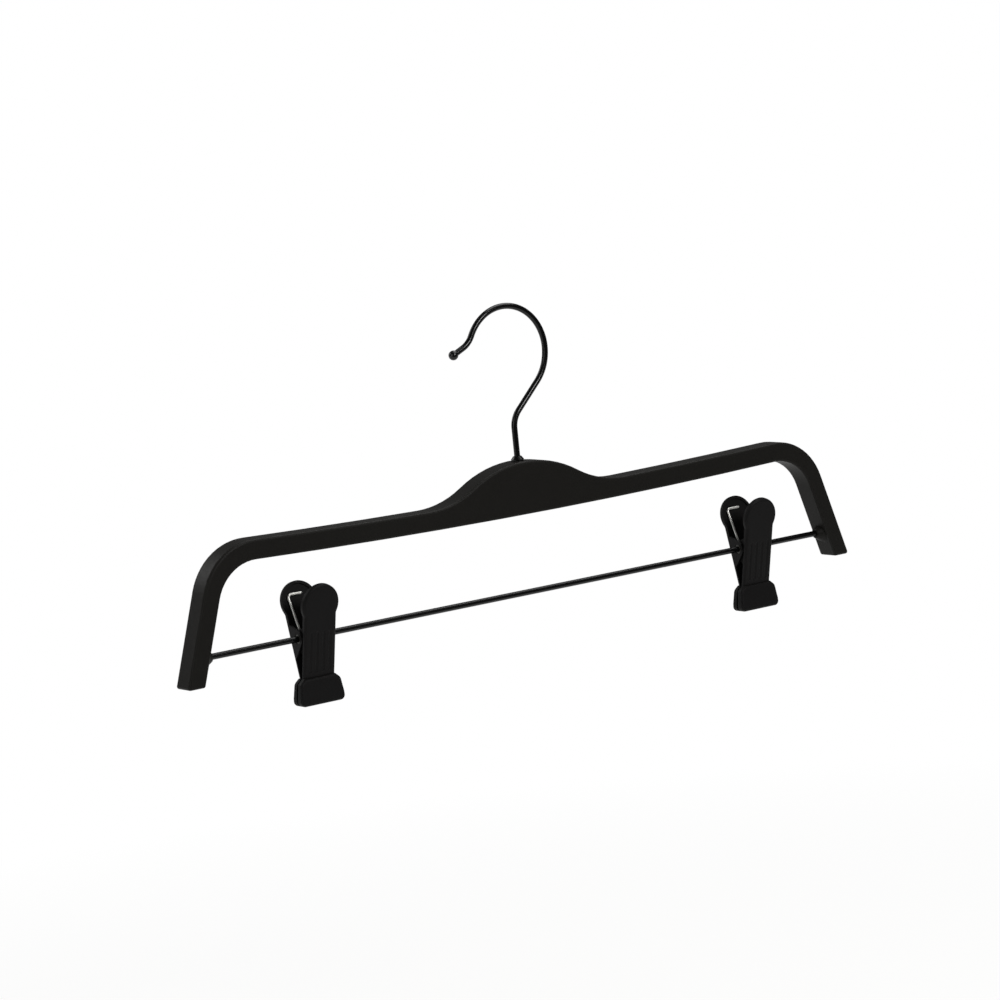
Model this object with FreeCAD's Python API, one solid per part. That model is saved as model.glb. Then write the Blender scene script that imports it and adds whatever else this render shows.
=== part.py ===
import FreeCAD, Part
import math
import os
from FreeCAD import Vector

# Skirt hanger: a moulded frame, a swivelling wire hook, a cross rod and two sprung clips.
# Sizes are in millimetres and degrees. X runs along the hanger, Y from front to back, Z up.
# The origin is where the hook rests on its rail, at the inside top of the big bend.

# Wire hook
hook_wire_diameter = 3.0
hook_bend_radius = 22.8         # centre line of the big bend that goes over the rail
hook_neck_height = 20.9         # from the hump's top to the point where the neck turns aside
hook_neck_slope = 45.0          # lean of the neck's straight run from upright
hook_neck_bend_radius = 12.0
hook_mouth_angle = 152.0        # end of the big bend, counted from +X
hook_lip_bend_radius = 12.0     # the lip turns outward again, away from the rail
hook_lip_turn = 37.0
hook_lip_length = 6.5           # straight run from the lip's bend to the middle of the ball
ball_tip_diameter = 4.8
ball_tip_clearance = 0.02

# Swivel in the hump
swivel_clearance = 0.06         # between the wire and the ferrule, all round
ferrule_wall = 0.95
ferrule_depth = 11.0
ferrule_seat_clearance = 0.05   # between the ferrule and its hole in the frame
ferrule_flange_overhang = 0.7
ferrule_flange_height = 0.8
ferrule_cone_height = 1.5
ferrule_lip_wall = 0.5          # wall left at the cone's top
push_nut_thickness = 0.8
push_nut_inset = 0.25           # how far the nut's rim lies inside the ferrule's
push_nut_clearance = 0.02       # between the nut and the wire
push_nut_gap = 0.2              # between the nut and the ferrule's lower end
wire_tail = 1.2                 # wire below the nut
swivel_floor_gap = 1.0          # air below the wire's end

# Moulded frame
hanger_width = 400.0
frame_thickness = 12.5
arm_height = 9.7
arm_sweep_radius = 4300.0       # the arms rise gently towards their ends
hump_rise = 16.4                # hump above the arms' top edge
hump_crown_radius = 62.0
hump_foot_radius = 50.0
leg_drop = 51.6                 # from the middle of the bar's lower edge to the legs' ends
leg_lean = 17.9                 # of both sides of a leg, from upright
leg_width = 9.3                 # measured level
outer_corner_radius = 30.0
inner_corner_radius = 22.0
top_edge_radius = 1.4
lower_edge_radius = 1.2
leg_end_radius = 1.1

# Cross rod
rod_diameter = 3.0
rod_above_leg_end = 12.7
rod_socket_depth = 6.0
rod_socket_clearance = 0.05
rod_end_chamfer = 0.4
collar_reach = 3.3              # a tapered collar of the leg stands out round the rod
collar_end_radius = 2.5
collar_root_radius = 4.4
collar_root_depth = 2.0         # how far the collar's taper runs on inside the leg

# Clips on the rod
left_clip_from_end = 73.0       # from a leg's end to the clip's middle, as the clips stand now
right_clip_from_end = 60.0
bush_rod_clearance = 0.05
bush_wall = 0.75
bush_end_inset = 0.3            # the bush ends just inside the outer ears
ear_clearance = 0.06            # between the bush and the ears' holes
ear_wall = 1.55
ear_thickness = 1.2
ear_side_gap = 0.2              # between neighbouring ears
ear_turning_gap = 1.05          # between an ear's rim and the other jaw's plate
ear_rim_gap = 0.36              # between an ear's rim and the other jaw's rim
ear_web_above = 8.5
ear_web_below = 9.5
jaw_plate = 1.8
jaw_lean = 13.5
jaw_half_width = 8.7
handle_reach = 27.7             # from the rod to the top of the handle, along the jaw
handle_head_radius = 10.0
handle_neck_radius = 3.0
handle_rim_depth = 2.6
handle_rim_wall = 1.4
handle_rim_start = -1.0         # the rim grows from nothing here
handle_rim_full = 9.0           # to its full depth here
jaw_edge_radius = 1.2
flute_count = 4
flute_spacing = 3.6
flute_radius = 1.5
flute_depth = 0.3
flute_top = 4.0
flute_length = 19.0
foot_reach = 32.0               # from the rod down to the jaw's lower end
foot_height = 13.0
foot_half_width = 12.2
foot_shoulder_height = 2.2
foot_shoulder_width = 2.5
foot_flare_height = 7.0
foot_thickness = 4.4            # outer face of a foot from the clip's middle plane, at its low end
foot_taper = 1.0                # the foot is this much thinner at its top
foot_corner_radius = 2.4
foot_shoulder_radius = 3.0
foot_edge_radius = 1.3

# Rubber grips in the feet
grip_thickness = 1.2
grip_proud = 0.5                # how far a grip stands out of its foot
grip_parting = 0.05             # from a grip's face to the clip's middle plane
grip_margin = 1.3               # foot left around the grip
grip_side_clearance = 0.05
grip_groove_pitch = 1.6
grip_groove_width = 0.6
grip_groove_depth = 0.3

# Wire spring of a clip
spring_wire = 1.3
spring_bush_gap = 0.25
spring_turn_gap = 0.55
spring_full_turns = 3           # whole turns of the coil
spring_ear_gap = 1.5            # from the outer turn to the nearest ear
spring_plate_gap = 0.15
spring_back_reach = 20.0        # from the rod to the bent end on the back handle
spring_front_reach = 17.0
spring_back_spread = 2.0        # the back leg leans out by this much
spring_corner_radius = 1.5
spring_back_toe = 7.5           # bent ends of the wire, on the two handles
spring_front_toe = 4.5

# How near counts as touching when edges are looked up
touching = 1e-4
same_level = 0.1

# Levels and radii that follow from the sizes above
wire_radius = hook_wire_diameter / 2
hook_centre_z = wire_radius - hook_bend_radius
hook_corner_z = hook_centre_z - hook_bend_radius / math.sin(math.radians(hook_neck_slope))
hump_top_z = hook_corner_z - hook_neck_height
arm_top_z = hump_top_z - hump_rise
bar_bottom_z = arm_top_z - arm_height
leg_end_z = bar_bottom_z - leg_drop
rod_z = leg_end_z + rod_above_leg_end
rod_radius = rod_diameter / 2
ferrule_bore_radius = wire_radius + swivel_clearance
ferrule_radius = ferrule_bore_radius + ferrule_wall
nut_top_z = hump_top_z - ferrule_depth - push_nut_gap
wire_end_z = nut_top_z - push_nut_thickness - wire_tail
swivel_floor_z = wire_end_z - swivel_floor_gap
bush_radius = rod_radius + bush_rod_clearance + bush_wall
ear_bore_radius = bush_radius + ear_clearance
ear_radius = ear_bore_radius + ear_wall
plate_inside = ear_radius + ear_turning_gap
plate_outside = plate_inside + jaw_plate
outer_ear_x = jaw_half_width - ear_thickness
inner_ear_x = outer_ear_x - ear_side_gap - ear_thickness
foot_top_z = foot_height - foot_reach
foot_face = grip_parting + grip_proud


def cylinder(radius, start, end):
    """A round bar from one point to another."""
    run = end - start
    return Part.makeCylinder(radius, run.Length, start, run)


def block(low, high):
    """A box between two opposite corners."""
    size = high - low
    return Part.makeBox(size.x, size.y, size.z, low)


def prism(edges, push):
    """A flat outline pushed along a vector."""
    return Part.Face(Part.Wire(edges)).extrude(push)


def lines(points):
    """Straight edges through the points, closed back to the first."""
    ring = points + points[:1]
    return [Part.makeLine(a, b) for a, b in zip(ring, ring[1:])]


def arc(start, middle, end):
    return Part.Arc(start, middle, end).toShape()


def cross_edges(shape, places):
    """Edges that run from front to back at the given places in the front view."""
    found = []
    for edge in shape.Edges:
        ends = [vertex.Point for vertex in edge.Vertexes]
        for place in places:
            offsets = [Vector(end.x - place.x, 0, end.z - place.z).Length for end in ends]
            if len(ends) == 2 and max(offsets) < touching:
                found.append(edge)
    return found


def on_plane(shape, y):
    """Edges that lie in the upright plane at this y."""
    return [edge for edge in shape.Edges
            if max(abs(edge.BoundBox.YMin - y), abs(edge.BoundBox.YMax - y)) < touching]


def mirrored(point):
    return Vector(-point.x, point.y, point.z)


# Moulded frame

def sweep_height(x, radius):
    """Height of a gently rising arm edge, on circles about one centre above the bar."""
    return bar_bottom_z + arm_sweep_radius - math.sqrt(radius ** 2 - x ** 2)


def meet_sweep(point, lean, radius):
    """Where a line that leans inward from a point meets an arm edge."""
    toward = Vector(-math.sin(math.radians(lean)), 0, math.cos(math.radians(lean)))
    centre = Vector(0, point.y, bar_bottom_z + arm_sweep_radius)
    start = point - centre
    along = start.dot(toward)
    reach = -along - math.sqrt(along ** 2 - start.dot(start) + radius ** 2)
    return point + toward * reach


def leg_points(y):
    """Corners of the right leg's front view, from the outer bend round the end to the inner bend."""
    end_outer = Vector(hanger_width / 2, y, leg_end_z)
    end_inner = end_outer - Vector(leg_width, 0, 0)
    corner_outer = meet_sweep(end_outer, leg_lean, arm_sweep_radius - arm_height)
    corner_inner = meet_sweep(end_inner, leg_lean, arm_sweep_radius)
    return [corner_outer, end_outer, end_inner, corner_inner]


def leg_inside_at_rod():
    return hanger_width / 2 - leg_width - rod_above_leg_end * math.tan(math.radians(leg_lean))


def hump_arcs(y):
    """Tangent points of the crown and of the hollow beside it, on the right."""
    arm_radius = arm_sweep_radius - arm_height
    arm_centre_z = bar_bottom_z + arm_sweep_radius
    crown_centre_z = hump_top_z - hump_crown_radius
    far = arm_radius - hump_foot_radius
    near = hump_crown_radius + hump_foot_radius
    rise = arm_centre_z - crown_centre_z
    foot_up = (rise ** 2 + near ** 2 - far ** 2) / (2 * rise)
    foot_x = math.sqrt(near ** 2 - foot_up ** 2)
    crown = Vector(0, y, crown_centre_z)
    foot = Vector(foot_x, y, crown_centre_z + foot_up)
    toward_foot = (foot - crown).normalize()
    crown_end = crown + toward_foot * hump_crown_radius
    from_arm = (foot - Vector(0, y, arm_centre_z)).normalize()
    foot_end = foot + from_arm * hump_foot_radius
    halfway = (from_arm - toward_foot).normalize()
    return crown_end, foot + halfway * hump_foot_radius, foot_end


def frame_edges(y):
    """The frame's front view, with sharp corners at the bends."""
    leg = leg_points(y)
    corner_outer, corner_inner = leg[0], leg[-1]
    crown_end, foot_middle, foot_end = hump_arcs(y)
    arm_x = (corner_outer.x + foot_end.x) / 2
    arm_middle = Vector(arm_x, y, sweep_height(arm_x, arm_sweep_radius - arm_height))
    over = [corner_outer, arm_middle, foot_end, foot_middle, crown_end, Vector(0, y, hump_top_z)]
    over += [mirrored(p) for p in over[-2::-1]]
    edges = [arc(*over[index:index + 3]) for index in range(0, len(over) - 2, 2)]
    left_leg = [mirrored(p) for p in leg]
    edges += [Part.makeLine(a, b) for a, b in zip(left_leg, left_leg[1:])]
    edges += [arc(mirrored(corner_inner), Vector(0, y, bar_bottom_z), corner_inner)]
    right_leg = leg[::-1]
    edges += [Part.makeLine(a, b) for a, b in zip(right_leg, right_leg[1:])]
    return edges


def make_frame():
    front = -frame_thickness / 2
    body = prism(frame_edges(front), Vector(0, frame_thickness, 0))
    leg = leg_points(0)
    for corner, radius in ((leg[0], outer_corner_radius), (leg[-1], inner_corner_radius)):
        body = body.makeFillet(radius, cross_edges(body, [corner, mirrored(corner)]))
    for level, radius in ((hump_top_z, top_edge_radius), (bar_bottom_z, lower_edge_radius)):
        seeds = [edge for y in (front, -front) for edge in on_plane(body, y)
                 if abs(edge.BoundBox.Center.x) < touching
                 and min(abs(edge.BoundBox.ZMax - level), abs(edge.BoundBox.ZMin - level)) < same_level]
        body = body.makeFillet(radius, seeds)
    leg_ends = [edge for edge in body.Edges if edge.BoundBox.ZMax < leg_end_z + touching]
    body = body.makeFillet(leg_end_radius, leg_ends)
    body = body.fuse([rod_collar(1), rod_collar(-1)]).removeSplitter()
    hole_radius = ferrule_radius + ferrule_seat_clearance
    body = body.cut(cylinder(hole_radius, Vector(0, 0, swivel_floor_z), Vector(0, 0, 0)))
    socket = Vector(leg_inside_at_rod() + rod_socket_depth, 0, rod_z)
    return body.cut(cylinder(rod_radius + rod_socket_clearance, mirrored(socket), socket))


def rod_collar(side):
    """The tapered collar round the rod on the inside of the right (1) or left (-1) leg."""
    inside = leg_inside_at_rod()
    taper = (collar_root_radius - collar_end_radius) / collar_reach
    deep_radius = collar_root_radius + taper * collar_root_depth
    start = Vector(side * (inside + collar_root_depth), 0, rod_z)
    return Part.makeCone(deep_radius, collar_end_radius, collar_root_depth + collar_reach,
                         start, Vector(-side, 0, 0))


def make_rod():
    end = Vector(leg_inside_at_rod() + rod_socket_depth, 0, rod_z)
    rod = cylinder(rod_radius, mirrored(end), end)
    rims = [edge for edge in rod.Edges if edge.BoundBox.XLength < touching]
    return rod.makeChamfer(rod_end_chamfer, rims)


# Hook and its swivel

def turn_in_front_view(vector, angle):
    return FreeCAD.Rotation(Vector(0, -1, 0), angle).multVec(vector)


def hook_path():
    """The wire's centre line from its lower end to the middle of the ball, and its last heading."""
    slope = math.radians(hook_neck_slope)
    up = Vector(0, 0, 1)
    aside = Vector(math.sin(slope), 0, math.cos(slope))
    corner = Vector(0, 0, hook_corner_z)
    tangent = hook_neck_bend_radius * math.tan(slope / 2)
    neck_start = corner - up * tangent
    neck_end = corner + aside * tangent
    neck_centre = neck_start + Vector(hook_neck_bend_radius, 0, 0)
    neck_middle = neck_centre + turn_in_front_view(
        Vector(-hook_neck_bend_radius, 0, 0), -hook_neck_slope / 2)
    centre = Vector(0, 0, hook_centre_z)
    spoke = Vector(hook_bend_radius, 0, 0)
    bend_start = centre + turn_in_front_view(spoke, -hook_neck_slope)
    bend_middle = centre + turn_in_front_view(spoke, (hook_mouth_angle - hook_neck_slope) / 2)
    bend_end = centre + turn_in_front_view(spoke, hook_mouth_angle)
    lip_centre = centre + (bend_end - centre) * (1 + hook_lip_bend_radius / hook_bend_radius)
    lip_spoke = bend_end - lip_centre
    lip_middle = lip_centre + turn_in_front_view(lip_spoke, -hook_lip_turn / 2)
    lip_end = lip_centre + turn_in_front_view(lip_spoke, -hook_lip_turn)
    heading = turn_in_front_view(Vector(0, 0, 1), hook_mouth_angle - hook_lip_turn)
    tip = lip_end + heading * hook_lip_length
    edges = [Part.makeLine(Vector(0, 0, wire_end_z), neck_start),
             arc(neck_start, neck_middle, neck_end),
             Part.makeLine(neck_end, bend_start),
             arc(bend_start, bend_middle, bend_end),
             arc(bend_end, lip_middle, lip_end),
             Part.makeLine(lip_end, tip)]
    return edges, tip, heading


def tube(edges, radius, start, heading):
    """A round wire along a path of straight runs and arcs."""
    ring = Part.Wire([Part.makeCircle(radius, start, heading)])
    return Part.Wire(edges).makePipeShell([ring], True, False)


def make_hook_wire():
    edges = hook_path()[0]
    return tube(edges, wire_radius, Vector(0, 0, wire_end_z), Vector(0, 0, 1))


def make_ball_tip():
    tip, heading = hook_path()[1:]
    ball = Part.makeSphere(ball_tip_diameter / 2, tip)
    return ball.cut(cylinder(wire_radius + ball_tip_clearance, tip,
                             tip - heading * ball_tip_diameter))


def make_ferrule():
    top = Vector(0, 0, hump_top_z)
    up = Vector(0, 0, 1)
    flange_radius = ferrule_radius + ferrule_flange_overhang
    flange_top = top + up * ferrule_flange_height
    sleeve = cylinder(ferrule_radius, top - up * ferrule_depth, top)
    flange = cylinder(flange_radius, top, flange_top)
    cone = Part.makeCone(flange_radius, ferrule_bore_radius + ferrule_lip_wall,
                         ferrule_cone_height, flange_top, up)
    bore = cylinder(ferrule_bore_radius, top - up * ferrule_depth,
                    flange_top + up * ferrule_cone_height)
    return sleeve.fuse([flange, cone]).removeSplitter().cut(bore)


def make_push_nut():
    top = Vector(0, 0, nut_top_z)
    base = Vector(0, 0, nut_top_z - push_nut_thickness)
    ring = cylinder(ferrule_radius - push_nut_inset, base, top)
    return ring.cut(cylinder(wire_radius + push_nut_clearance, base, top))


# Clips, made about the rod's axis and moved to their places on it

def ear(side_x):
    """An ear of the front jaw, from its plate round the bush. It lies at this x and inward of +X."""
    def touch(point, side):
        base = math.atan2(point.z, point.y)
        angle = base - side * math.acos(ear_radius / point.Length)
        return Vector(0, ear_radius * math.cos(angle), ear_radius * math.sin(angle))
    root = jaw_plate / 2 - plate_outside
    above = Vector(0, root, ear_web_above)
    below = Vector(0, root, -ear_web_below)
    top = touch(above, 1)
    bottom = touch(below, -1)
    edges = [Part.makeLine(above, top), arc(top, Vector(0, ear_radius, 0), bottom),
             Part.makeLine(bottom, below), Part.makeLine(below, above)]
    solid = prism(edges, Vector(ear_thickness, 0, 0))
    solid.translate(Vector(side_x, 0, 0))
    return solid


def handle_outline(half_width, head_radius, low_z, y):
    """Front view of a jaw above its foot: a straight strip under a round head."""
    head_z = handle_reach - handle_head_radius
    neck_z = head_z - math.sqrt(head_radius ** 2 - half_width ** 2)
    neck = Vector(half_width, y, neck_z)
    low = Vector(half_width, y, low_z)
    return [Part.makeLine(mirrored(low), low), Part.makeLine(low, neck),
            arc(neck, Vector(0, y, head_z + head_radius), mirrored(neck)),
            Part.makeLine(mirrored(neck), mirrored(low))], neck


def make_handle():
    """The front jaw's plate with its rim, flutes and ears, before it leans out."""
    front = -plate_outside
    low_z = foot_top_z - jaw_plate
    edges, neck = handle_outline(jaw_half_width, handle_head_radius, low_z, front)
    body = prism(edges, Vector(0, handle_rim_depth, 0))
    body = body.makeFillet(handle_neck_radius, cross_edges(body, [neck, mirrored(neck)]))
    body = body.makeFillet(jaw_edge_radius, on_plane(body, front))
    inside_edges = handle_outline(jaw_half_width - handle_rim_wall,
                                  handle_head_radius - handle_rim_wall,
                                  low_z - jaw_plate, -plate_inside)[0]
    body = body.cut(prism(inside_edges, Vector(0, handle_rim_depth, 0)))
    rim_back = front + handle_rim_depth
    wedge = lines([Vector(-foot_half_width, -plate_inside, -foot_reach),
                   Vector(-foot_half_width, rim_back, -foot_reach),
                   Vector(-foot_half_width, rim_back, handle_rim_full),
                   Vector(-foot_half_width, -plate_inside, handle_rim_start)])
    body = body.cut(prism(wedge, Vector(2 * foot_half_width, 0, 0)))
    turning_radius = ear_radius + ear_rim_gap
    for low_x in (-outer_ear_x - ear_thickness, inner_ear_x):
        start = Vector(low_x - ear_side_gap, 0, 0)
        end = Vector(low_x + ear_thickness + ear_side_gap, 0, 0)
        body = body.cut(cylinder(turning_radius, start, end))
    for index in range(flute_count):
        x = (index - (flute_count - 1) / 2) * flute_spacing
        top = Vector(x, front + flute_depth - flute_radius, flute_top)
        low = top - Vector(0, 0, flute_length)
        groove = cylinder(flute_radius, low, top)
        ends = [Part.makeSphere(flute_radius, end) for end in (low, top)]
        body = body.cut(groove.fuse(ends).removeSplitter())
    return body.fuse([ear(outer_ear_x), ear(-inner_ear_x - ear_thickness)]).removeSplitter()


def make_foot():
    """The front jaw's wide lower end: flared, thinner towards its top and rounded at its rim."""
    low = -foot_reach
    outer = -foot_thickness
    shoulder_x = jaw_half_width + foot_shoulder_width
    shoulder_z = foot_top_z - foot_shoulder_height
    side = [Vector(foot_half_width, outer, low),
            Vector(foot_half_width, outer, shoulder_z - foot_flare_height),
            Vector(shoulder_x, outer, shoulder_z),
            Vector(jaw_half_width, outer, foot_top_z)]
    outline = lines(side + [mirrored(p) for p in side[::-1]])
    body = prism(outline, Vector(0, foot_thickness - foot_face, 0))
    for corner, radius in ((side[0], foot_corner_radius), (side[2], foot_shoulder_radius)):
        body = body.makeFillet(radius, cross_edges(body, [corner, mirrored(corner)]))
    base = Vector(-hanger_width, outer, low)
    slope = Vector(0, foot_taper, foot_height)
    outward = Vector(0, -foot_thickness, 0)
    wedge = lines([base - slope, base + slope * 2, base + slope * 2 + outward, base - slope + outward])
    body = body.cut(prism(wedge, Vector(2 * hanger_width, 0, 0)))
    normal = Vector(0, -foot_height, foot_taper).normalize()
    rim = [edge for edge in body.Edges
           if max(abs((vertex.Point - base).dot(normal)) for vertex in edge.Vertexes) < touching]
    return body.makeFillet(foot_edge_radius, rim)


def grip_box(clearance):
    """The space of a front grip, widened at its sides by a clearance."""
    half_x = foot_half_width - grip_margin + clearance
    low_z = grip_margin - foot_reach - clearance
    high_z = foot_top_z - foot_shoulder_height + clearance
    back = grip_thickness + grip_parting
    return block(Vector(-half_x, -back, low_z), Vector(half_x, -grip_parting, high_z))


def make_front_jaw():
    handle = make_handle()
    handle.rotate(Vector(0, 0, 0), Vector(1, 0, 0), jaw_lean)
    jaw = handle.fuse(make_foot()).removeSplitter()
    trim_top = Vector(foot_half_width, foot_reach, foot_top_z + foot_height / 2)
    jaw = jaw.cut(block(Vector(-foot_half_width, -foot_face, -foot_reach - jaw_plate), trim_top))
    bore_end = Vector(foot_half_width, 0, 0)
    jaw = jaw.cut(cylinder(ear_bore_radius, mirrored(bore_end), bore_end))
    return jaw.cut(grip_box(grip_side_clearance))


def make_front_grip():
    grip = grip_box(0)
    box = grip.BoundBox
    count = int((box.ZLength - grip_groove_width) / grip_groove_pitch)
    first = (box.ZMin + box.ZMax - (count - 1) * grip_groove_pitch) / 2
    for index in range(count):
        low_z = first + index * grip_groove_pitch - grip_groove_width / 2
        grip = grip.cut(block(Vector(box.XMin, box.YMax - grip_groove_depth, low_z),
                              Vector(box.XMax, box.YMax, low_z + grip_groove_width)))
    return grip


def turned_round(shape):
    """The same moulding, turned half a turn to be the other side of the clip."""
    other = shape.copy()
    other.rotate(Vector(0, 0, 0), Vector(0, 0, 1), 180)
    return other


def make_bush():
    end = Vector(outer_ear_x + ear_thickness - bush_end_inset, 0, 0)
    bush = cylinder(bush_radius, mirrored(end), end)
    return bush.cut(cylinder(rod_radius + bush_rod_clearance, mirrored(end), end))


def biarc(start, start_heading, end, end_heading):
    """Two arcs that leave one point and reach another along given headings."""
    run = end - start
    both = start_heading + end_heading
    spare = 2 * (1 - start_heading.dot(end_heading))
    along = run.dot(both)
    reach = (math.sqrt(along ** 2 + spare * run.dot(run)) - along) / spare
    first = start + start_heading * reach
    last = end - end_heading * reach
    middle = (first + last) * 0.5
    edges = []
    for a, corner, b in ((start, first, middle), (middle, last, end)):
        chord_middle = (a + b) * 0.5
        half = (b - a).Length / 2
        rise = corner - chord_middle
        bend = math.atan2(rise.Length, half)
        edges.append(arc(a, chord_middle + rise.normalize() * (half * math.tan(bend / 2)), b))
    return edges


def bend(before, corner, after, radius):
    """Where a rounded corner starts and ends, and its arc."""
    back = (before - corner).normalize()
    ahead = (after - corner).normalize()
    half = math.acos(back.dot(ahead)) / 2
    start = corner + back * (radius / math.tan(half))
    end = corner + ahead * (radius / math.tan(half))
    inward = (back + ahead).normalize()
    middle = corner + inward * (radius / math.sin(half) - radius)
    return start, arc(start, middle, end), end


def leg_top(reach, side):
    """Where a spring leg lies against the inside of a handle, on the front (-1) or back (1)."""
    depth = plate_inside - spring_plate_gap - spring_wire / 2
    lean = math.radians(jaw_lean)
    along = reach / math.cos(lean) + depth * math.tan(lean)
    flat = Vector(0, side * depth, along)
    return FreeCAD.Rotation(Vector(1, 0, 0), -side * jaw_lean).multVec(flat)


def spring_run():
    """Edges of the spring's wire, from its toe on the front handle to its toe on the back handle."""
    coil_radius = bush_radius + spring_bush_gap + spring_wire / 2
    pitch = spring_wire + spring_turn_gap
    outer_x = -(inner_ear_x - spring_ear_gap - spring_wire / 2)
    back_top = leg_top(spring_back_reach, 1)
    front_top = leg_top(spring_front_reach, -1)

    def leave(top, side):
        base = math.atan2(top.z, top.y)
        return base - side * math.acos(coil_radius / math.hypot(top.y, top.z))
    back_angle = leave(back_top, 1)
    front_angle = leave(front_top, -1) - 2 * math.pi * (1 + spring_full_turns)
    sweep = back_angle - front_angle
    advance = pitch * sweep / (2 * math.pi)
    count = math.ceil(sweep / (math.pi / 2))

    def on_coil(share):
        angle = front_angle + sweep * share
        x = outer_x + advance * (1 - share)
        return Vector(x, coil_radius * math.cos(angle), coil_radius * math.sin(angle))

    def heading(share):
        angle = front_angle + sweep * share
        turn = coil_radius * sweep
        return Vector(-advance, -turn * math.sin(angle), turn * math.cos(angle)).normalize()
    knots = [on_coil(index / count) for index in range(count + 1)]
    headings = [heading(index / count) for index in range(count + 1)]
    front_corner = Vector(knots[0].x, front_top.y, front_top.z)
    back_corner = Vector(outer_x - spring_back_spread, back_top.y, back_top.z)
    headings[0] = (knots[0] - front_corner).normalize()
    headings[-1] = (back_corner - knots[-1]).normalize()
    front_toe = front_corner - Vector(spring_front_toe, 0, 0)
    back_toe = back_corner + Vector(spring_back_toe, 0, 0)
    toe_start, toe_arc, toe_end = bend(front_toe, front_corner, knots[0], spring_corner_radius)
    top_start, top_arc, top_end = bend(knots[-1], back_corner, back_toe, spring_corner_radius)
    edges = [Part.makeLine(front_toe, toe_start), toe_arc, Part.makeLine(toe_end, knots[0])]
    for index in range(count):
        edges += biarc(knots[index], headings[index], knots[index + 1], headings[index + 1])
    edges += [Part.makeLine(knots[-1], top_start), top_arc, Part.makeLine(top_end, back_toe)]
    return edges, front_toe


def least_self_gap(path):
    """Smallest air gap between stretches of the wire that aren't neighbours along it."""
    step = spring_wire / 4
    points = path.discretize(Distance=step)
    skip = int(3 * spring_wire / step)
    return min(a.distanceToPoint(b) for i, a in enumerate(points)
               for b in points[i + skip:]) - spring_wire


def make_spring():
    edges, start = spring_run()
    gap = least_self_gap(Part.Wire(edges))
    print("spring: least gap to itself", round(gap, 3), "mm")
    return tube(edges, spring_wire / 2, start, Vector(1, 0, 0))


def make_clip():
    jaw = make_front_jaw()
    grip = make_front_grip()
    return {"front_jaw": jaw, "back_jaw": turned_round(jaw),
            "front_grip": grip, "back_grip": turned_round(grip),
            "pivot_bush": make_bush(), "spring": make_spring()}


def make_parts():
    parts = {"frame": make_frame(), "clip_rod": make_rod(),
             "hook_wire": make_hook_wire(), "hook_ball_tip": make_ball_tip(),
             "hook_ferrule": make_ferrule(), "hook_push_nut": make_push_nut()}
    clip = make_clip()
    for side, x in (("left", left_clip_from_end - hanger_width / 2),
                    ("right", hanger_width / 2 - right_clip_from_end)):
        for name, shape in clip.items():
            placed = shape.copy()
            placed.translate(Vector(x, 0, rod_z))
            parts[side + "_" + name] = placed
    return parts


os.makedirs("parts", exist_ok=True)
for node, shape in make_parts().items():
    if not shape.isValid() or len(shape.Solids) != 1:
        raise ValueError(node + " is not one sound solid")
    print(node, "volume", round(shape.Volume, 2), "mm3")
    shape.Solids[0].exportStep("parts/" + node + ".step")
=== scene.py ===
import math

import bpy
from bpy.props import FloatProperty, FloatVectorProperty, IntProperty, PointerProperty, StringProperty
from mathutils import Matrix, Vector


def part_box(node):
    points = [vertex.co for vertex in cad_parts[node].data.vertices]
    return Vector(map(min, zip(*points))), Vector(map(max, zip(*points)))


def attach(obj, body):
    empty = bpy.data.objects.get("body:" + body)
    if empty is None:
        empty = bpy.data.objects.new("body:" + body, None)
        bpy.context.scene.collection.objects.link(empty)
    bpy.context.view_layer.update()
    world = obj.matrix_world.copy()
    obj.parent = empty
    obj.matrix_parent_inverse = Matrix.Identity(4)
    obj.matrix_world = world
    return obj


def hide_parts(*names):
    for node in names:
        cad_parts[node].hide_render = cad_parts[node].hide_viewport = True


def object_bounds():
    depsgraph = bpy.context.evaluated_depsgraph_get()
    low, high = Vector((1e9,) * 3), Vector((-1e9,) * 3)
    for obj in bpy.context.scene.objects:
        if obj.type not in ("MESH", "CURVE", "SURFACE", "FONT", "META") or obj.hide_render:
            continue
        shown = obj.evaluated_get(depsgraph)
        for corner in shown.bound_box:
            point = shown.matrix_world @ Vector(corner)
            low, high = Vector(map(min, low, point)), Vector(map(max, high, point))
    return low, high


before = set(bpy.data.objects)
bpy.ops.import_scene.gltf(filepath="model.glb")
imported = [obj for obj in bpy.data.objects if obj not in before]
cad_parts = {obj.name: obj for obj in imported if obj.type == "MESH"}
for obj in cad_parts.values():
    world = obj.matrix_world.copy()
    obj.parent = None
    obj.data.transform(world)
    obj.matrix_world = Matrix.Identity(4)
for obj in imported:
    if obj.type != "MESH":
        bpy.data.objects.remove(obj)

bl_info = {
    "name": "Skirt Hanger",
    "version": (1, 0, 0),
    "blender": (4, 5, 0),
    "location": "View3D > Sidebar > Hanger",
    "description": "Finishes, clip springs and studio for a skirt hanger with sliding clips",
    "category": "Object",
}

CAD_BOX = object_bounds()
MM = 0.001
CLIPS = ("left", "right")
ROD_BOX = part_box("clip_rod")
ROD_HEIGHT = (ROD_BOX[0].z + ROD_BOX[1].z) / 2
HUMP_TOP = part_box("frame")[1].z

# Sockets of the Mix node for colours: its two inputs and its result.
MIX_FIRST, MIX_SECOND, MIX_RESULT = 6, 7, 2

# A spring's coil is drawn in steps of at most this angle, and in no fewer steps than these.
COIL_STEP = math.radians(10)
FEWEST_COIL_STEPS = 6
# The coil is a hair thinner than the arms, so that it lies inside their ends.
COIL_THINNING = 0.995

# The studio's floor, in metres.
FLOOR_HALF_WIDTH = 6.0
FLOOR_FRONT = -0.5
SHADOW_REACH = 0.2              # the floor keeps its shadow up to here from the hanger's middle
WHITE_REACH = 0.9               # and is all white from here
SHADOW_WHITENESS = 0.7          # share of white where the shadow lies

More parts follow.
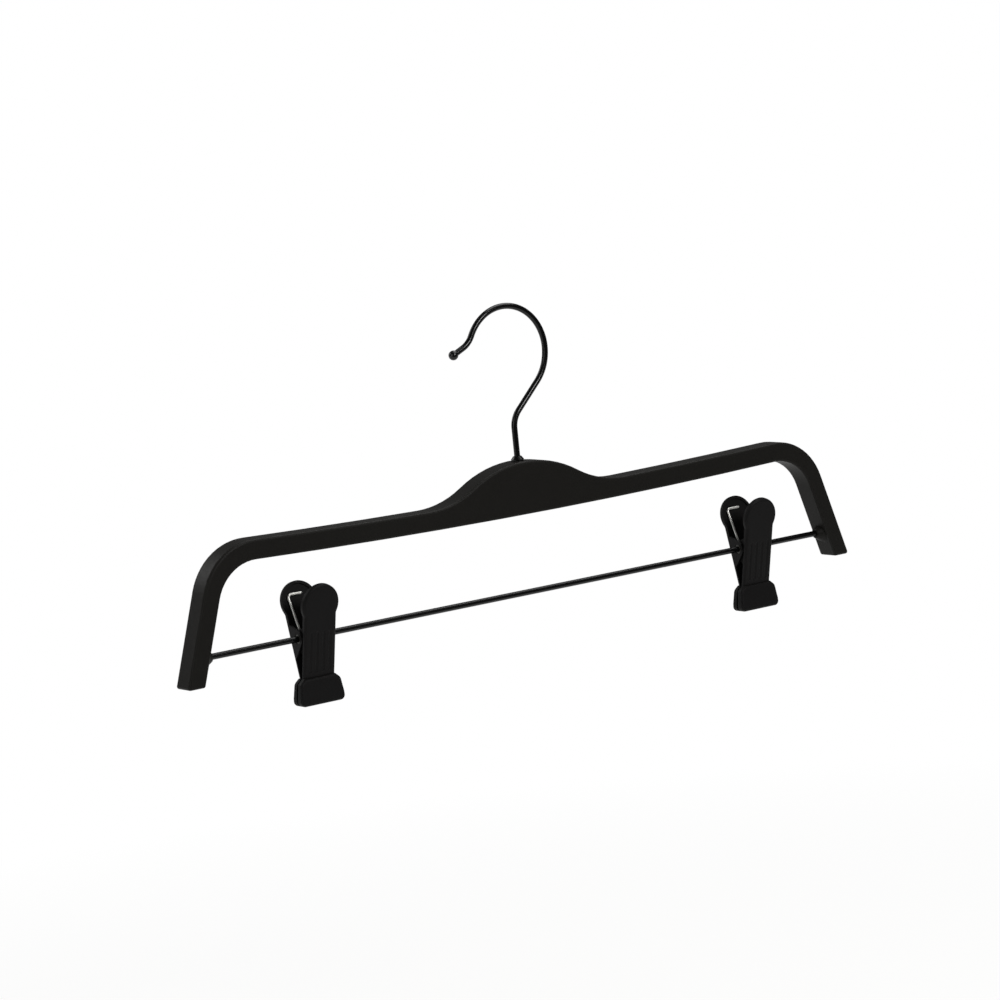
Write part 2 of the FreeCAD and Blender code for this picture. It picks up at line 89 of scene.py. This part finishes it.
# The surround's strength for each use.
SURROUND_LIGHT = 0.30           # as light on the object
MIRRORED_LIGHT = 0.06           # in mirror images
MIRRORED_BEHIND = 0.12          # share of white in mirror images of what lies behind the hanger
MIRRORED_SPAN = 0.6             # that share is reached where a direction leans this far back


class HangerFinishes(bpy.types.PropertyGroup):
    """Colours of the hanger's materials."""
    frame_colour: StringProperty(
        name="Frame", description="Colour of the moulded frame, as sRGB hex", default="#181715")
    clip_colour: StringProperty(
        name="Clips", description="Colour of the moulded jaws, as sRGB hex", default="#0d0c0c")
    coat_colour: StringProperty(
        name="Coat", description="Colour of the coat on hook and rod, as sRGB hex", default="#050505")
    tip_colour: StringProperty(
        name="Ball tip", description="Colour of the hook's ball tip, as sRGB hex", default="#070707")
    rubber_colour: StringProperty(
        name="Grips", description="Colour of the rubber grips, as sRGB hex", default="#0d0d0d")
    nylon_colour: StringProperty(
        name="Bushes", description="Colour of the nylon bushes, as sRGB hex", default="#26251f")
    spring_colour: StringProperty(
        name="Springs", description="Colour of the bright spring wire, as sRGB hex", default="#e4e3de")


class SpringSizes(bpy.types.PropertyGroup):
    """Sizes of a clip's wire spring, which twists as the handles are squeezed."""
    wire_radius: FloatProperty(
        name="Wire radius", description="Half the wire's thickness",
        default=0.65 * MM, unit="LENGTH")
    coil_radius: FloatProperty(
        name="Coil radius", description="From the rod's axis to the wire's middle",
        default=3.2 * MM, unit="LENGTH")
    pitch: FloatProperty(
        name="Pitch", description="From one turn to the next, along the rod",
        default=1.85 * MM, unit="LENGTH")
    full_turns: IntProperty(
        name="Full turns", description="Whole turns of the coil", default=3)
    outer_turn: FloatProperty(
        name="Outer turn", description="From the clip's middle to the outermost turn",
        default=3.95 * MM, unit="LENGTH")
    arm_spread: FloatProperty(
        name="Arm spread", description="How far the back arm leans out over its length",
        default=2.0 * MM, unit="LENGTH")
    back_height: FloatProperty(
        name="Back height", description="Bent end on the back handle, above the rod",
        default=20.0 * MM, unit="LENGTH")
    front_height: FloatProperty(
        name="Front height", description="Bent end on the front handle, above the rod",
        default=17.0 * MM, unit="LENGTH")
    arm_offset: FloatProperty(
        name="Arm offset", description="From the rod's axis to the plane of an arm on its handle",
        default=4.16 * MM, unit="LENGTH")
    handle_lean: FloatProperty(
        name="Handle lean", description="Lean of each handle from the clip's middle plane",
        default=math.radians(13.5), subtype="ANGLE")
    corner_radius: FloatProperty(
        name="Corner radius", description="Bend of the wire at its corners",
        default=1.5 * MM, unit="LENGTH")
    back_toe: FloatProperty(
        name="Back toe", description="Length of the bent end on the back handle",
        default=7.5 * MM, unit="LENGTH")
    front_toe: FloatProperty(
        name="Front toe", description="Length of the bent end on the front handle",
        default=4.5 * MM, unit="LENGTH")
    overlap: FloatProperty(
        name="Overlap", description="Stretch of coil that an arm takes with it, so the wire stays whole",
        default=math.radians(30), subtype="ANGLE")


class StudioSettings(bpy.types.PropertyGroup):
    """The camera and the plain studio round the hanger."""
    azimuth: FloatProperty(
        name="Azimuth", description="Camera's turn round the hanger",
        default=math.radians(-34.645), subtype="ANGLE")
    elevation: FloatProperty(
        name="Elevation", description="Camera's height above the horizon",
        default=math.radians(7.035), subtype="ANGLE")
    roll: FloatProperty(
        name="Roll", description="Camera's turn about its own line of sight",
        default=math.radians(-5.662), subtype="ANGLE")
    distance: FloatProperty(
        name="Distance", description="From the hump's top to the camera",
        default=1.7364, unit="LENGTH")
    offset: FloatVectorProperty(
        name="Offset", description="Sideways and upward shift of the camera",
        size=2, default=(-8.63 * MM, -19.219 * MM), unit="LENGTH")
    lens: FloatProperty(
        name="Lens", description="Focal length for a 36 mm sensor, in millimetres", default=127.91)
    floor_drop: FloatProperty(
        name="Floor drop", description="Floor below the hanger's lowest point",
        default=0.25, unit="LENGTH")
    floor_colour: StringProperty(
        name="Floor", description="Colour of the floor, as sRGB hex", default="#f4f4f2")


def linear(text):
    """A linear RGBA colour from an sRGB hex value."""
    parts = [int(text[i:i + 2], 16) / 255 for i in (1, 3, 5)]
    return [c / 12.92 if c <= 0.04045 else ((c + 0.055) / 1.055) ** 2.4 for c in parts] + [1.0]


def shaded(text, share):
    """The hex colour made lighter or darker by a share."""
    return [c * share for c in linear(text)[:3]] + [1.0]


def add_node(tree, kind, values=None, links=None, **settings):
    """Adds a node. Settings are its properties, values its inputs, links the sockets that feed them."""
    made = tree.nodes.new(kind)
    for key, value in settings.items():
        setattr(made, key, value)
    for key, value in (values or {}).items():
        made.inputs[key].default_value = value
    for key, source in (links or {}).items():
        tree.links.new(source, made.inputs[key])
    return made


def new_material(name):
    """An empty node material and its tree."""
    material = bpy.data.materials.new(name)
    material.use_nodes = True
    material.node_tree.nodes.clear()
    return material, material.node_tree


def per_metre(size_mm):
    """Texture scale at which one feature is this many millimetres wide."""
    return 1 / (size_mm * MM)


def grained_surface(name, colour, roughness, spread, grain_mm, depth_mm, cloud_mm, cloud, specular):
    """A dielectric surface with a fine grain in relief and soft clouds in its tone and gloss."""
    material, tree = new_material(name)
    where = add_node(tree, "ShaderNodeTexCoord").outputs["Object"]
    clouds = add_node(tree, "ShaderNodeTexNoise", {"Scale": per_metre(cloud_mm), "Detail": 4.0,
                                                   "Roughness": 0.6}, {"Vector": where})
    grain = add_node(tree, "ShaderNodeTexNoise", {"Scale": per_metre(grain_mm), "Detail": 2.0},
                     {"Vector": where})
    tone = add_node(tree, "ShaderNodeMix", {MIX_FIRST: shaded(colour, 1 - cloud),
                                            MIX_SECOND: shaded(colour, 1 + cloud)},
                    {0: clouds.outputs["Fac"]}, data_type="RGBA").outputs[MIX_RESULT]
    gloss = add_node(tree, "ShaderNodeMapRange", {"From Min": 0.3, "From Max": 0.7,
                                                  "To Min": roughness - spread,
                                                  "To Max": roughness + spread},
                     {"Value": grain.outputs["Fac"]})
    relief = add_node(tree, "ShaderNodeBump", {"Strength": 0.6, "Distance": depth_mm * MM},
                      {"Height": grain.outputs["Fac"]})
    shader = add_node(tree, "ShaderNodeBsdfPrincipled", {"Specular IOR Level": specular},
                      {"Base Color": tone, "Roughness": gloss.outputs["Result"],
                       "Normal": relief.outputs["Normal"]})
    add_node(tree, "ShaderNodeOutputMaterial", links={"Surface": shader.outputs["BSDF"]})
    return material


def drawn_steel(name, colour, smoothest=0.34, roughest=0.54, mark_mm=0.33, mark_tone=0.85):
    """Bright wire drawn through a die: fine marks on it, so its highlight breaks up a little."""
    material, tree = new_material(name)
    where = add_node(tree, "ShaderNodeTexCoord").outputs["Object"]
    # the die's marks are too fine to show, so they are drawn about a third of a millimetre wide
    marks = add_node(tree, "ShaderNodeTexNoise", {"Scale": per_metre(mark_mm), "Detail": 3.0},
                     {"Vector": where})
    gloss = add_node(tree, "ShaderNodeMapRange", {"To Min": smoothest, "To Max": roughest},
                     {"Value": marks.outputs["Fac"]})
    tone = add_node(tree, "ShaderNodeMix", {MIX_FIRST: shaded(colour, mark_tone),
                                            MIX_SECOND: linear(colour)},
                    {0: marks.outputs["Fac"]}, data_type="RGBA").outputs[MIX_RESULT]
    shader = add_node(tree, "ShaderNodeBsdfPrincipled", {"Metallic": 1.0},
                      {"Base Color": tone, "Roughness": gloss.outputs["Result"]})
    add_node(tree, "ShaderNodeOutputMaterial", links={"Surface": shader.outputs["BSDF"]})
    return material


def dress(material, *names):
    """Gives CAD nodes a material through their objects' own slots."""
    for name in names:
        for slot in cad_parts[name].material_slots:
            slot.material = material


def arc_points(centre, across, up, radius, start, end, count):
    """Points on a circle about a centre, from one angle to another."""
    angles = [start + (end - start) * i / count for i in range(count + 1)]
    return [centre + (across * math.cos(a) + up * math.sin(a)) * radius for a in angles]


def rounded_corner(before, corner, after, radius, count=8):
    """Points of a bend that joins two straight runs."""
    back = (before - corner).normalized()
    ahead = (after - corner).normalized()
    half = back.angle(ahead) / 2
    inward = (back + ahead).normalized()
    centre = corner + inward * (radius / math.sin(half))
    sweep = math.pi / 2 - half
    return arc_points(centre, -inward, (ahead - back).normalized(), radius, -sweep, sweep, count)


class WireSpring:
    """The path of a clip's spring about the rod's axis, cut where its arms turn with the handles."""

    def __init__(self, sizes):
        self.sizes = sizes
        self.back_top = self.arm_top(sizes.back_height, 1)
        self.front_top = self.arm_top(sizes.front_height, -1)
        self.back_angle = self.leaving(self.back_top, 1)
        self.front_angle = self.leaving(self.front_top, -1) - 2 * math.pi * (1 + sizes.full_turns)
        self.advance = sizes.pitch * (self.back_angle - self.front_angle) / (2 * math.pi)

    def arm_top(self, height, side):
        """Where an arm ends against the inside of its handle."""
        s = self.sizes
        along = height / math.cos(s.handle_lean) + s.arm_offset * math.tan(s.handle_lean)
        flat = Vector((0, side * s.arm_offset, along))
        return Matrix.Rotation(-side * s.handle_lean, 3, "X") @ flat

    def leaving(self, top, side):
        """Angle at which a straight arm leaves the coil."""
        spare = math.acos(self.sizes.coil_radius / math.hypot(top.y, top.z))
        return math.atan2(top.z, top.y) - side * spare

    def turns(self, start, end):
        """Points of the coil from one angle to another."""
        s = self.sizes
        count = max(FEWEST_COIL_STEPS, math.ceil(abs(end - start) / COIL_STEP))
        points = []
        for i in range(count + 1):
            angle = start + (end - start) * i / count
            share = (self.back_angle - angle) / (self.back_angle - self.front_angle)
            points.append(Vector((self.advance * share - s.outer_turn,
                                  s.coil_radius * math.cos(angle), s.coil_radius * math.sin(angle))))
        return points

    def coil(self):
        """The coil between the two arms, less half of what each arm takes with it."""
        return self.turns(self.back_angle - self.sizes.overlap / 2,
                          self.front_angle + self.sizes.overlap / 2)

    def back_arm(self):
        """From the coil's left end up the back handle, to the wire's bent end."""
        s = self.sizes
        root = self.turns(self.back_angle - s.overlap, self.back_angle)
        corner = Vector((-s.outer_turn - s.arm_spread, self.back_top.y, self.back_top.z))
        toe = corner + Vector((s.back_toe, 0, 0))
        return root + rounded_corner(root[-1], corner, toe, s.corner_radius) + [toe]

    def front_arm(self):
        """From the coil's right end up the front handle, to the wire's other bent end."""
        s = self.sizes
        root = self.turns(self.front_angle + s.overlap, self.front_angle)
        corner = Vector((root[-1].x, self.front_top.y, self.front_top.z))
        toe = corner - Vector((s.front_toe, 0, 0))
        return root + rounded_corner(root[-1], corner, toe, s.corner_radius) + [toe]


def wire_piece(name, path, radius, place, material):
    """One mesh of round wire along a path."""
    curve = bpy.data.curves.new(name, "CURVE")
    curve.dimensions = "3D"
    curve.bevel_depth = radius
    curve.bevel_resolution = 5
    curve.use_fill_caps = True
    spline = curve.splines.new("POLY")
    spline.points.add(len(path) - 1)
    for point, where in zip(spline.points, path):
        point.co = (*(where + place), 1.0)
    shape = bpy.data.objects.new(name + "_path", curve)
    bpy.context.scene.collection.objects.link(shape)
    bpy.context.view_layer.update()
    mesh = bpy.data.meshes.new_from_object(shape.evaluated_get(bpy.context.evaluated_depsgraph_get()))
    bpy.data.objects.remove(shape)
    bpy.data.curves.remove(curve)
    mesh.name = name
    mesh.shade_smooth()
    mesh.materials.clear()
    mesh.materials.append(material)
    piece = bpy.data.objects.new(name, mesh)
    bpy.context.scene.collection.objects.link(piece)
    return piece


class HANGER_OT_finish_frame(bpy.types.Operator):
    """Gives the moulded frame its satin plastic"""
    bl_idname = "hanger.finish_frame"
    bl_label = "Finish Frame"

    def execute(self, context):
        colours = context.scene.hanger_finishes
        # Moulded polypropylene with a fine spark-eroded grain: a soft wide sheen on rounded edges.
        # The grain is about 0.2 mm on the real one and is drawn at 0.7 mm so that it shows.
        plastic = grained_surface("moulded_polypropylene_satin", colours.frame_colour,
                                  roughness=0.46, spread=0.05, grain_mm=0.7, depth_mm=0.015,
                                  cloud_mm=9.0, cloud=0.10, specular=0.09)
        dress(plastic, "frame")
        return {"FINISHED"}


class HANGER_OT_finish_hook(bpy.types.Operator):
    """Gives the hook, its swivel and the cross rod their black coat"""
    bl_idname = "hanger.finish_hook"
    bl_label = "Finish Hook and Rod"

    def execute(self, context):
        colours = context.scene.hanger_finishes
        # Steel wire with a thin baked coat: near black, with a sharp line of light along it.
        coat = grained_surface("baked_coat_on_steel_wire", colours.coat_colour,
                               roughness=0.22, spread=0.03, grain_mm=1.2, depth_mm=0.001,
                               cloud_mm=6.0, cloud=0.12, specular=0.3)
        dress(coat, "hook_wire", "clip_rod", "hook_ferrule")
        # The ball is moulded in a harder, glossier plastic.
        ball = grained_surface("moulded_ball_gloss", colours.tip_colour,
                               roughness=0.25, spread=0.03, grain_mm=0.8, depth_mm=0.001,
                               cloud_mm=4.0, cloud=0.08, specular=0.4)
        dress(ball, "hook_ball_tip")
        dress(drawn_steel("spring_steel_nut", colours.spring_colour), "hook_push_nut")
        return {"FINISHED"}


class HANGER_OT_finish_clips(bpy.types.Operator):
    """Gives the jaws, their grips and the bushes their plastics and rubber"""
    bl_idname = "hanger.finish_clips"
    bl_label = "Finish Clips"

    def execute(self, context):
        colours = context.scene.hanger_finishes
        # Moulded ABS with an even matte grain, a little darker and cooler than the frame.
        jaw = grained_surface("moulded_abs_matte", colours.clip_colour,
                              roughness=0.58, spread=0.06, grain_mm=0.6, depth_mm=0.015,
                              cloud_mm=5.0, cloud=0.10, specular=0.12)
        # Vulcanised rubber: dull, with a dusty bloom.
        rubber = grained_surface("vulcanised_rubber", colours.rubber_colour,
                                 roughness=0.75, spread=0.08, grain_mm=0.5, depth_mm=0.02,
                                 cloud_mm=3.0, cloud=0.15, specular=0.3)
        # Extruded nylon tube: waxy, hidden but for its ends.
        nylon = grained_surface("extruded_nylon", colours.nylon_colour,
                                roughness=0.45, spread=0.05, grain_mm=0.8, depth_mm=0.01,
                                cloud_mm=4.0, cloud=0.08, specular=0.5)
        for side in CLIPS:
            dress(jaw, side + "_front_jaw", side + "_back_jaw")
            dress(rubber, side + "_front_grip", side + "_back_grip")
            dress(nylon, side + "_pivot_bush")
        return {"FINISHED"}


class HANGER_OT_wind_springs(bpy.types.Operator):
    """Winds each clip's spring, with arms that turn with the handles"""
    bl_idname = "hanger.wind_springs"
    bl_label = "Wind Springs"

    def execute(self, context):
        sizes = context.scene.hanger_spring
        steel = drawn_steel("drawn_spring_steel", context.scene.hanger_finishes.spring_colour)
        spring = WireSpring(sizes)
        for side in CLIPS:
            low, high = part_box(side + "_pivot_bush")
            place = Vector(((low.x + high.x) / 2, 0, ROD_HEIGHT))
            node = side + "_spring"
            for suffix, path, body in (("coil", spring.coil(), "spring_carrier"),
                                       ("back_arm", spring.back_arm(), "back_jaw"),
                                       ("front_arm", spring.front_arm(), "front_jaw")):
                radius = sizes.wire_radius * (COIL_THINNING if suffix == "coil" else 1)
                piece = wire_piece(node + "_" + suffix, path, radius, place, steel)
                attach(piece, side + "_" + body)
                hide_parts(node)
        return {"FINISHED"}


class HANGER_OT_build_stage(bpy.types.Operator):
    """Builds the floor, the soft lights, the white surround and the camera"""
    bl_idname = "hanger.build_stage"
    bl_label = "Build Stage"

    def execute(self, context):
        studio = context.scene.hanger_studio
        self.floor(context, studio)
        self.lights(context)
        self.surround(context)
        self.camera(context, studio)
        context.scene.view_settings.view_transform = "Standard"
        return {"FINISHED"}

    def floor(self, context, studio):
        """A wide pale floor that keeps the soft shadow and is white further out."""
        half = FLOOR_HALF_WIDTH
        mesh = bpy.data.meshes.new("studio_floor")
        z = CAD_BOX[0].z - studio.floor_drop
        corners = [(-half, FLOOR_FRONT, z), (half, FLOOR_FRONT, z), (half, half, z), (-half, half, z)]
        mesh.from_pydata(corners, [], [(0, 1, 2, 3)])
        floor = bpy.data.objects.new("studio_floor", mesh)
        context.scene.collection.objects.link(floor)
        material, tree = new_material("painted_studio_floor")
        where = add_node(tree, "ShaderNodeTexCoord").outputs["Object"]
        away = add_node(tree, "ShaderNodeVectorMath", {1: (0, 0, z)}, {0: where}, operation="DISTANCE")
        white_share = add_node(tree, "ShaderNodeMapRange", {"From Min": SHADOW_REACH,
                                                            "From Max": WHITE_REACH,
                                                            "To Min": SHADOW_WHITENESS},
                               {"Value": away.outputs["Value"]})
        path = add_node(tree, "ShaderNodeLightPath")
        direct = add_node(tree, "ShaderNodeMath", links={0: path.outputs["Is Camera Ray"],
                                                         1: path.outputs["Is Transmission Ray"]},
                          operation="MAXIMUM").outputs["Value"]
        seen = add_node(tree, "ShaderNodeMath", links={0: direct, 1: path.outputs["Is Glossy Ray"]},
                        operation="MAXIMUM").outputs["Value"]
        share = add_node(tree, "ShaderNodeMath", links={0: seen, 1: white_share.outputs["Result"]},
                         operation="MULTIPLY")
        paint = add_node(tree, "ShaderNodeBsdfDiffuse", {"Color": linear(studio.floor_colour)})
        white = add_node(tree, "ShaderNodeEmission", {"Strength": 1.0})
        both = add_node(tree, "ShaderNodeMixShader", links={0: share.outputs["Value"],
                                                            1: paint.outputs["BSDF"],
                                                            2: white.outputs["Emission"]})
        add_node(tree, "ShaderNodeOutputMaterial", links={"Surface": both.outputs["Shader"]})
        mesh.materials.append(material)

    def lights(self, context):
        """A soft box overhead, a small key high in front, and weak fills on the left and behind."""
        middle = Vector((0, 0, HUMP_TOP))
        for name, place, size, power in (("overhead_soft_box", (0.45, 0.0, 1.0), 0.8, 8.0),
                                         ("front_key", (0.25, -1.7, 0.85), 0.5, 17.0),
                                         ("left_fill", (-1.4, -0.5, 0.4), 0.8, 4.0),
                                         ("back_fill", (-0.8, 1.4, 0.9), 1.0, 9.0)):
            data = bpy.data.lights.new(name, "AREA")
            data.shape = "SQUARE"
            data.size = size
            data.energy = power
            lamp = bpy.data.objects.new(name, data)
            lamp.location = middle + Vector(place)
            lamp.rotation_euler = (middle - lamp.location).to_track_quat("-Z", "Y").to_euler()
            context.scene.collection.objects.link(lamp)

    def surround(self, context):
        """White where the camera looks. Mirror images see it dim behind the hanger and dark in front."""
        world = bpy.data.worlds.new("studio_surround")
        world.use_nodes = True
        tree = world.node_tree
        tree.nodes.clear()
        direction = add_node(tree, "ShaderNodeTexCoord").outputs["Generated"]
        depth = add_node(tree, "ShaderNodeSeparateXYZ", links={"Vector": direction}).outputs["Y"]
        behind = add_node(tree, "ShaderNodeMapRange", {"From Max": MIRRORED_SPAN,
                                                       "To Max": MIRRORED_BEHIND},
                          {"Value": depth}).outputs["Result"]
        path = add_node(tree, "ShaderNodeLightPath")
        mirrored = add_node(tree, "ShaderNodeMath", links={0: path.outputs["Is Glossy Ray"], 1: behind},
                            operation="MULTIPLY").outputs["Value"]
        direct = add_node(tree, "ShaderNodeMath", links={0: path.outputs["Is Camera Ray"],
                                                         1: path.outputs["Is Transmission Ray"]},
                          operation="MAXIMUM").outputs["Value"]
        seen = add_node(tree, "ShaderNodeMath", links={0: direct, 1: mirrored},
                        operation="MAXIMUM").outputs["Value"]
        white = add_node(tree, "ShaderNodeBackground", {"Color": (1, 1, 1, 1), "Strength": 1.0})
        level = add_node(tree, "ShaderNodeMapRange", {"To Min": SURROUND_LIGHT,
                                                      "To Max": MIRRORED_LIGHT},
                         {"Value": path.outputs["Is Glossy Ray"]}).outputs["Result"]
        even = add_node(tree, "ShaderNodeBackground", {"Color": (1, 1, 1, 1)}, {"Strength": level})
        both = add_node(tree, "ShaderNodeMixShader", links={0: seen, 1: even.outputs["Background"],
                                                            2: white.outputs["Background"]})
        add_node(tree, "ShaderNodeOutputWorld", links={"Surface": both.outputs["Shader"]})
        context.scene.world = world

    def camera(self, context, studio):
        """A long lens to the left of the hanger's middle, turned a little about its own axis."""
        a, e, r = studio.azimuth, studio.elevation, studio.roll
        back = Vector((math.sin(a) * math.cos(e), -math.cos(a) * math.cos(e), math.sin(e)))
        level = Vector((math.cos(a), math.sin(a), 0))
        upright = back.cross(level)
        right = level * math.cos(r) + upright * math.sin(r)
        up = upright * math.cos(r) - level * math.sin(r)
        data = bpy.data.cameras.new("studio_camera")
        data.sensor_width = 36.0
        data.lens = studio.lens
        data.clip_end = 50.0
        camera = bpy.data.objects.new("studio_camera", data)
        place = (Vector((0, 0, HUMP_TOP)) + back * studio.distance
                 + right * studio.offset[0] + up * studio.offset[1])
        camera.matrix_world = Matrix.Translation(place) @ Matrix((right, up, back)).transposed().to_4x4()
        context.scene.collection.objects.link(camera)
        context.scene.camera = camera


STEPS = (HANGER_OT_finish_frame, HANGER_OT_finish_hook, HANGER_OT_finish_clips,
         HANGER_OT_wind_springs, HANGER_OT_build_stage)


class HANGER_PT_panel(bpy.types.Panel):
    """Lists the hanger's settings and steps"""
    bl_idname = "HANGER_PT_panel"
    bl_label = "Skirt Hanger"
    bl_space_type = "VIEW_3D"
    bl_region_type = "UI"
    bl_category = "Hanger"

    def draw(self, context):
        for settings in (context.scene.hanger_finishes, context.scene.hanger_spring,
                         context.scene.hanger_studio):
            column = self.layout.column()
            for key in settings.bl_rna.properties.keys():
                if key not in ("rna_type", "name"):
                    column.prop(settings, key)
        for step in STEPS:
            self.layout.operator(step.bl_idname)


CLASSES = (HangerFinishes, SpringSizes, StudioSettings) + STEPS + (HANGER_PT_panel,)


def register():
    for cls in CLASSES:
        bpy.utils.register_class(cls)
    bpy.types.Scene.hanger_finishes = PointerProperty(type=HangerFinishes)
    bpy.types.Scene.hanger_spring = PointerProperty(type=SpringSizes)
    bpy.types.Scene.hanger_studio = PointerProperty(type=StudioSettings)


def unregister():
    del bpy.types.Scene.hanger_finishes
    del bpy.types.Scene.hanger_spring
    del bpy.types.Scene.hanger_studio
    for cls in reversed(CLASSES):
        bpy.utils.unregister_class(cls)


def main():
    register()
    bpy.ops.hanger.finish_frame()
    bpy.ops.hanger.finish_hook()
    bpy.ops.hanger.finish_clips()
    bpy.ops.hanger.wind_springs()
    bpy.ops.hanger.build_stage()


if __name__ == "__main__":
    main()
